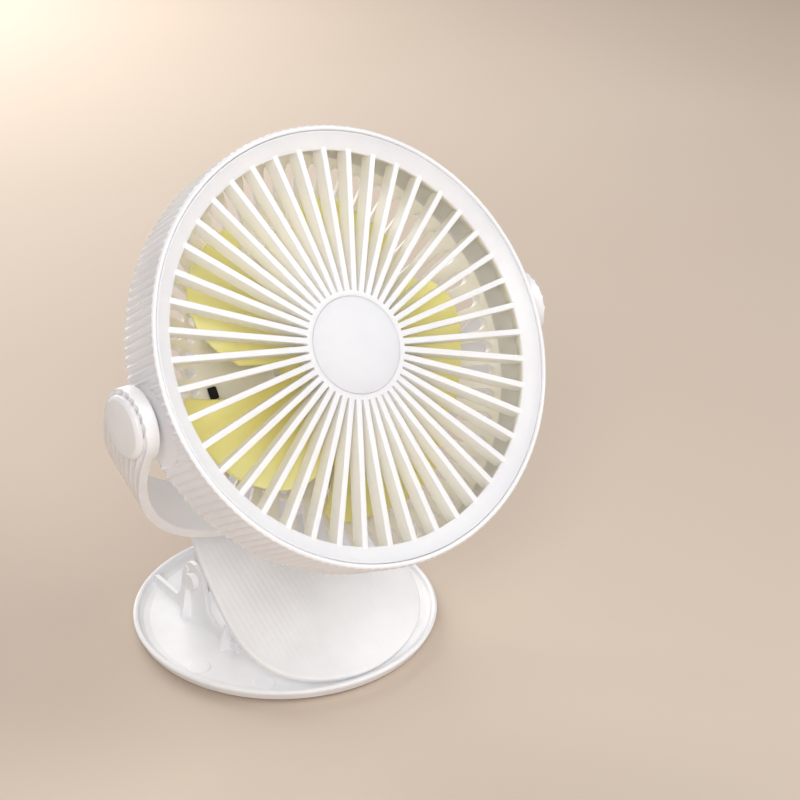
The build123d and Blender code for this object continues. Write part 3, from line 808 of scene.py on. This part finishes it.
for s, nm in ((-1, "left"), (1, "right")):
    cap = lathe("pivot_cap_" + nm, rnd([(7.4, 0.0), (10.5, 0.0), (10.5, 1.15), (9.3, 2.15), (5.5, 2.42), (0, 2.5), (0, 1.0), (7.4, 0.6)],
                                       [0.1, 0.1, 0.7, 1.2, 3.0, 0, 0, 0.2], 6), turn(YOKE, "y", 90 * s, (s * 81.3, 0, 0)), 128)
    finish(cap, "yoke", ["pivot_cap_" + nm], WHITE, 34)

# ---------------------------------------------------------------------------
# Clip jaw: plate with fine lines down its face, neck under the yoke, hinge walls
# ---------------------------------------------------------------------------
PT = 2.6
half = [(0, 0), (14, 2.1), (24, 6.4), (31.5, 12.4), (36.4, 20.5), (38.4, 30.0), (38.2, 41.0), (36.8, 53.0), (35.0, 64.0), (32.6, 74.0), (28.6, 84.0), (21.0, 92.0), (11.0, 95.6)]
loop = [(x, y) for x, y in half] + [(0, 96.4)] + [(-x, y) for x, y in reversed(half[1:])]


def closed_spline(pts, per=24):
    """Smooth closed line through points."""
    p = np.array(pts, float)
    n = len(p)
    out = []
    d = [np.linalg.norm(p[(i + 1) % n] - p[i]) ** 0.5 for i in range(n)]
    for i in range(n):
        p0, p1, p2, p3 = p[i - 1], p[i], p[(i + 1) % n], p[(i + 2) % n]
        d0, d1, d2 = d[i - 1], d[i], d[(i + 1) % n]
        m1 = d1 * ((p1 - p0) / d0 - (p2 - p0) / (d0 + d1) + (p2 - p1) / d1)
        m2 = d1 * ((p2 - p1) / d1 - (p3 - p1) / (d1 + d2) + (p3 - p2) / d2)
        for k in range(per):
            u = k / per
            out.append((2 * u**3 - 3 * u**2 + 1) * p1 + (u**3 - 2 * u**2 + u) * m1 + (-2 * u**3 + 3 * u**2) * p2 + (u**3 - u**2) * m2)
    return np.array(out)


edge = closed_spline(loop)
right = edge[: 24 * 13 + 1]
ys_edge, xs_edge = right[:, 1], right[:, 0]
order = np.argsort(ys_edge)
YTOP = float(edge[:, 1].max())
YBOT = float(edge[:, 1].min())


def half_width(y):
    return float(np.interp(y, ys_edge[order], xs_edge[order]))


def gap(x, y):
    """Distance from a point to the plate's outline."""
    return float(np.sqrt(((edge - np.array([x, y])) ** 2).sum(1).min()))


seg_a, seg_b = edge, np.roll(edge, -1, axis=0)


def gaps(pts):
    p = np.asarray(pts, float)[:, None, :]
    ab = (seg_b - seg_a)[None]
    tt = np.clip(((p - seg_a[None]) * ab).sum(2) / (ab**2).sum(2), 0, 1)
    return np.sqrt(((p - seg_a[None] - tt[..., None] * ab) ** 2).sum(2)).min(1)


ysr = [YBOT + (YTOP - YBOT) * (0.5 - 0.5 * math.cos(PI * k / 110)) for k in range(111)]
uu = np.concatenate([np.linspace(-0.965, 0.965, 211), [s * x for s in (-1, 1) for x in (0.972, 0.978, 0.984, 0.989, 0.993, 0.9965, 0.9985, 1.0)]])
uu = np.array(sorted(uu))
top, bot, verts = [], [], []
for y in ysr:
    hw = half_width(y) if YBOT < y < YTOP else 0.0
    xs = uu * hw
    e = gaps(np.stack([xs, np.full(len(xs), y)], 1))
    ti, bi = [], []
    for x, ee in zip(xs, e):
        rd = 1.0
        d1 = rd - math.sqrt(max(0.0, rd**2 - max(0.0, rd - ee) ** 2))
        d2 = 0.6 - math.sqrt(max(0.0, 0.36 - max(0.0, 0.6 - ee) ** 2))
        q = abs((x / 2.2) % 1.0 - 0.5) * 2
        g = 0.13 * q**1.6 * float(smoothstep(1.6, 2.4, ee))
        zb = -PT + d2
        verts.append((x, y, -d1 - g))
        ti.append(len(verts) - 1)
        verts.append((x, y, zb))
        bi.append(len(verts) - 1)
    top.append(ti)
    bot.append(bi)
fs = grid(top) + [q[::-1] for q in grid(bot)]
n = len(uu)
for i in range(len(ysr) - 1):
    for j in (0, n - 1):
        fs.append([top[i][j], top[i + 1][j], bot[i + 1][j], bot[i][j]])
for i in (0, len(ysr) - 1):
    for j in range(n - 1):
        fs.append([top[i][j], top[i][j + 1], bot[i][j + 1], bot[i][j]])
jaw = make("clip_jaw", verts, fs, JAW)
AX_T = (PIV[2] - 4.6 - math.tan(math.radians(30)) * (PIV[1] + 53.2)) / (C30 + math.tan(math.radians(30)) * S30)
NT = YS + 0.7
neck = lathe("neck", rnd([(6.05, NT), (11.4, NT), (12.0, NT + 0.7), (12.5, AX_T - 3.6), (14.2, AX_T - 1.2), (17.0, AX_T - 0.05), (17.0, AX_T + 0.6), (6.05, AX_T + 0.6)],
                         [0, 0.4, 0.6, 3.0, 3.0, 0.1, 0, 0], 5), turn(YOKE, "x", 90), 120)
combine(jaw, neck)
PIN_Y, PIN_Z = 14.0, 20.0
zt = lambda y: 4.6 + math.tan(math.radians(30)) * (y + 53.2)
zu = lambda y: zt(y) - (PT - 0.4) / C30
SIDE = place((0, 0, 0), (0, 1, 0), (0, 0, 1), (1, 0, 0))


def round_outline(cy, cz, r, a0, a1, n=14):
    return [(cy + r * math.cos(math.radians(a0 + (a1 - a0) * k / n)), cz + r * math.sin(math.radians(a0 + (a1 - a0) * k / n))) for k in range(n + 1)]


for s in (-1, 1):
    x0, x1 = s * 26.5 - 1.1, s * 26.5 + 1.1
    web = slab("web", [(PIN_Y - 18.0, zu(PIN_Y - 18.0))] + round_outline(PIN_Y, PIN_Z, 6.0, 180 + 12, 360 + 20, 20) + [(19.0, zu(19.0))], x0, x1, SIDE, 0.3, 2)
    combine(jaw, web)
bore = lathe("bore", [(0, -40), (2.06, -40), (2.06, 40), (0, 40)], place((0, PIN_Y, PIN_Z), (0, 1, 0), (0, 0, 1), (1, 0, 0)), 40)
combine(jaw, bore, "DIFFERENCE")
bore = lathe("bore", [(0, 80), (6.05, 80), (6.05, 110), (0, 110)], turn(YOKE, "x", 90), 64)
combine(jaw, bore, "DIFFERENCE")
flat = slab("flat", [(-60, -70), (60, -70), (60, -30), (-60, -30)], -10, 3.55, WORLD)
combine(jaw, flat, "DIFFERENCE")
finish(jaw, "jaw", ["clip_jaw"], SATIN, 34)

# ---------------------------------------------------------------------------
# Base dish: turned-up rim, coved inside, hinge walls with fins, moulded round marks
# ---------------------------------------------------------------------------
dish = lathe("base_dish", rnd([(0, 0.8), (54.8, 0.8), (55.9, 1.5), (57.15, 4.0), (57.3, 4.8), (56.5, 5.4), (55.5, 5.2), (54.8, 3.9), (53.4, 3.0), (51.0, 2.6), (0, 2.6)],
                              [0, 0.5, 0.8, 1.0, 0.5, 0.55, 0.5, 0.7, 1.2, 2.0, 0], 5), WORLD, 200)
for s in (-1, 1):
    x0, x1 = s * 30.0 - 1.0, s * 30.0 + 1.0
    wall = slab("wall", rnd([(44.6, 1.6), (44.6, 6.8), (27.5, 6.8), (24.6, 11.0), (22.6, 20.0), (19.6, 25.0), (16.6, 26.6), (13.0, 26.8), (9.6, 25.0), (7.6, 20.0),
                             (6.0, 9.5), (2.0, 7.0), (-12.0, 6.2), (-15.0, 1.6)], [0, 0.8, 3.0, 3.0, 3.0, 3.0, 2.0, 2.0, 3.0, 3.0, 2.4, 3.0, 1.0, 0], 3), x0, x1, SIDE, 0.3, 2)
    combine(dish, wall)
    for yy, h, x2, g in ((18.5, 24.0, 35.0, 31.6), (-8.0, 12.2, 35.4, 31.5)):
        fin = slab("fin", [(s * 29.6, 1.7), (s * x2, 1.7), (s * g, h), (s * 29.6, h)][:: s], -yy - 0.9, -yy + 0.9, place((0, 0, 0), (1, 0, 0), (0, 0, 1), (0, -1, 0)), 0.25, 2)
        combine(dish, fin)
    post = slab("fin", [(-9.0, 1.7), (-7.0, 1.7), (-7.0, 12.2), (-9.0, 12.2)], s * 30.0 - 0.95, s * 30.0 + 0.95, SIDE, 0.25, 2)
    combine(dish, post)
for a in (-164.6, -133.4, -46.6, -15.4):
    c, sn = 48.0 * math.cos(math.radians(a)), 48.0 * math.sin(math.radians(a))
    mark = lathe("mark", rnd([(0, 1.9), (4.2, 1.9), (4.2, 2.78), (3.7, 2.86), (0, 2.86)], [0, 0, 0.2, 0.2, 0]), place((c, sn, 0), (1, 0, 0), (0, 1, 0), (0, 0, 1)), 56)
    combine(dish, mark)
bore = lathe("bore", [(0, -40), (2.03, -40), (2.03, 40), (0, 40)], place((0, PIN_Y, PIN_Z), (0, 1, 0), (0, 0, 1), (1, 0, 0)), 40)
combine(dish, bore, "DIFFERENCE")
finish(dish, "base", ["base_dish"], SATIN, 32)


# ---------------------------------------------------------------------------
# Torsion spring: coil and lower leg stay with the base, upper leg goes with the jaw
# ---------------------------------------------------------------------------
def tube(name, pts, r, n=10):
    p = np.array(pts, float)
    tg = np.gradient(p, axis=0)
    tg /= np.linalg.norm(tg, axis=1)[:, None]
    nrm = np.cross(tg[0], [0.3, 0.5, 0.8])
    nrm /= np.linalg.norm(nrm)
    verts, rows = [], []
    for q, d in zip(p, tg):
        nrm = nrm - d * (nrm @ d)
        nrm /= np.linalg.norm(nrm)
        b = np.cross(d, nrm)
        rows.append(list(range(len(verts), len(verts) + n)))
        verts += [tuple(q + r * (math.cos(2 * PI * k / n) * nrm + math.sin(2 * PI * k / n) * b)) for k in range(n)]
    fs = grid(rows, False, True) + [rows[0][::-1], rows[-1]]
    return make(name, verts, fs)


RW, RC = 0.65, 4.3
turns = 12
coil = []
a0 = math.radians(-118)
for k in range(turns * 28 + 1):
    f = k / (turns * 28)
    a = a0 + 2 * PI * turns * f
    coil.append((-10.3 + 20.6 * f, PIN_Y + RC * math.cos(a), PIN_Z + RC * math.sin(a)))
tang = np.array([0.0, math.sin(a0), -math.cos(a0)])
start = np.array(coil[0])
leg = [np.array([-10.3, 34.4, 3.45]), np.array([-10.3, 33.2, 3.6])]
leg += [np.array([-10.3, 33.2, 3.6]) + (start + np.array([0, 0.6, -0.5]) - np.array([-10.3, 33.2, 3.6])) * f for f in (0.15, 0.4, 0.65, 0.85)]
spring = tube("clip_spring", [tuple(x) for x in leg] + coil[2:], RW)
finish(spring, "base", ["clip_spring"], STEEL, 40)
upper = tube("clip_spring_leg", [(10.3, PIN_Y + 4.3, PIN_Z - 0.4), (10.3, PIN_Y + 4.7, PIN_Z + 6.0), (10.3, 19.6, zu(19.6) - 4.0), (10.3, 20.6, zu(20.6) - 1.6)], RW)
finish(upper, "jaw", ["clip_spring"], STEEL, 40)

# ---------------------------------------------------------------------------
# Pieces that keep their own shape
# ---------------------------------------------------------------------------
for names, mt in ((("motor_can", "motor_shaft", "pivot_screws", "swivel_washer", "swivel_screw", "hinge_clip", "charging_inlet"), STEEL),
                  (("motor_windings",), COPPER), (("motor_bearing",), BRONZE), (("control_board",), BOARD), (("battery_cell",), CELL),
                  (("tact_switch",), BLACKP), (("light_pipe",), CLEAR), (("friction_washers", "jaw_grip_strip", "base_pad"), GREY), (("swivel_post", "hinge_pin"), SATIN)):
    for nme in names:
        o = nodes[nme]
        coat(o, mt)
        smooth(o, 32)

# ---------------------------------------------------------------------------
# Floor, light, camera
# ---------------------------------------------------------------------------
bpy.ops.mesh.primitive_plane_add(size=12.0, location=(0, 0, 0))
floor = bpy.context.object
floor.name = "floor"
fm, nt, bsdf, tc = new_material("floor")
nz = noise_node(nt, tc, 2.0, 2.0)
col = ramp_node(nt, nz.outputs["Fac"], [(0.3, lin((202, 186, 171))), (0.7, lin((207, 192, 177)))])
nt.links.new(col.outputs[0], bsdf.inputs["Base Color"])
bsdf.inputs["Roughness"].default_value = 0.8
bsdf.inputs["Specular IOR Level"].default_value = 0.2
floor.data.materials.append(fm)


def area(name, loc, target, size, power, colour):
    ld = bpy.data.lights.new(name, "AREA")
    ld.shape = "DISK"
    ld.size = size
    ld.energy = power
    ld.color = colour
    ob = bpy.data.objects.new(name, ld)
    bpy.context.scene.collection.objects.link(ob)
    ob.location = loc
    ob.rotation_euler = (Vector(target) - Vector(loc)).to_track_quat("-Z", "Y").to_euler()
    return ob


area("key", (0.85, -0.8, 1.1), (0, -0.03, 0.11), 0.9, 9.7, (0.965, 0.98, 1.0))
area("front", (-0.52, -0.73, 0.62), (0, -0.03, 0.11), 0.55, 6.2, (1.0, 0.978, 0.96))
area("top", (0.1, 0.0, 1.5), (0, 0, 0.1), 1.4, 0.8, (0.97, 0.985, 1.0))
area("back", (0.1, 1.0, 0.5), (0, 0, 0.11), 1.0, 10.5, (1.0, 0.985, 0.97))
w = bpy.data.worlds.new("world")
bpy.context.scene.world = w
w.use_nodes = True
bg = w.node_tree.nodes.get("Background") or w.node_tree.nodes.new("ShaderNodeBackground")
bg.inputs[0].default_value = (1.0, 0.97, 0.945, 1.0)
bg.inputs[1].default_value = 0.26
bpy.context.scene.view_settings.view_transform = "Standard"

cam_data = bpy.data.cameras.new("camera")
cam_data.sensor_width = 36.0
cam_data.lens = 81.945
cam_data.clip_start = 0.01
cam_data.clip_end = 50.0
cam = bpy.data.objects.new("camera", cam_data)
bpy.context.scene.collection.objects.link(cam)
cr, cd, cf = (0.79486, -0.60674, 0.0081), (-0.26792, -0.3629, -0.89248), (0.54444, 0.70723, -0.45101)
cam.matrix_world = Matrix(((cr[0], -cd[0], -cf[0], -0.32022), (cr[1], -cd[1], -cf[1], -0.48576), (cr[2], -cd[2], -cf[2], 0.38494), (0, 0, 0, 1)))
bpy.context.scene.camera = cam

bpy.context.view_layer.update()
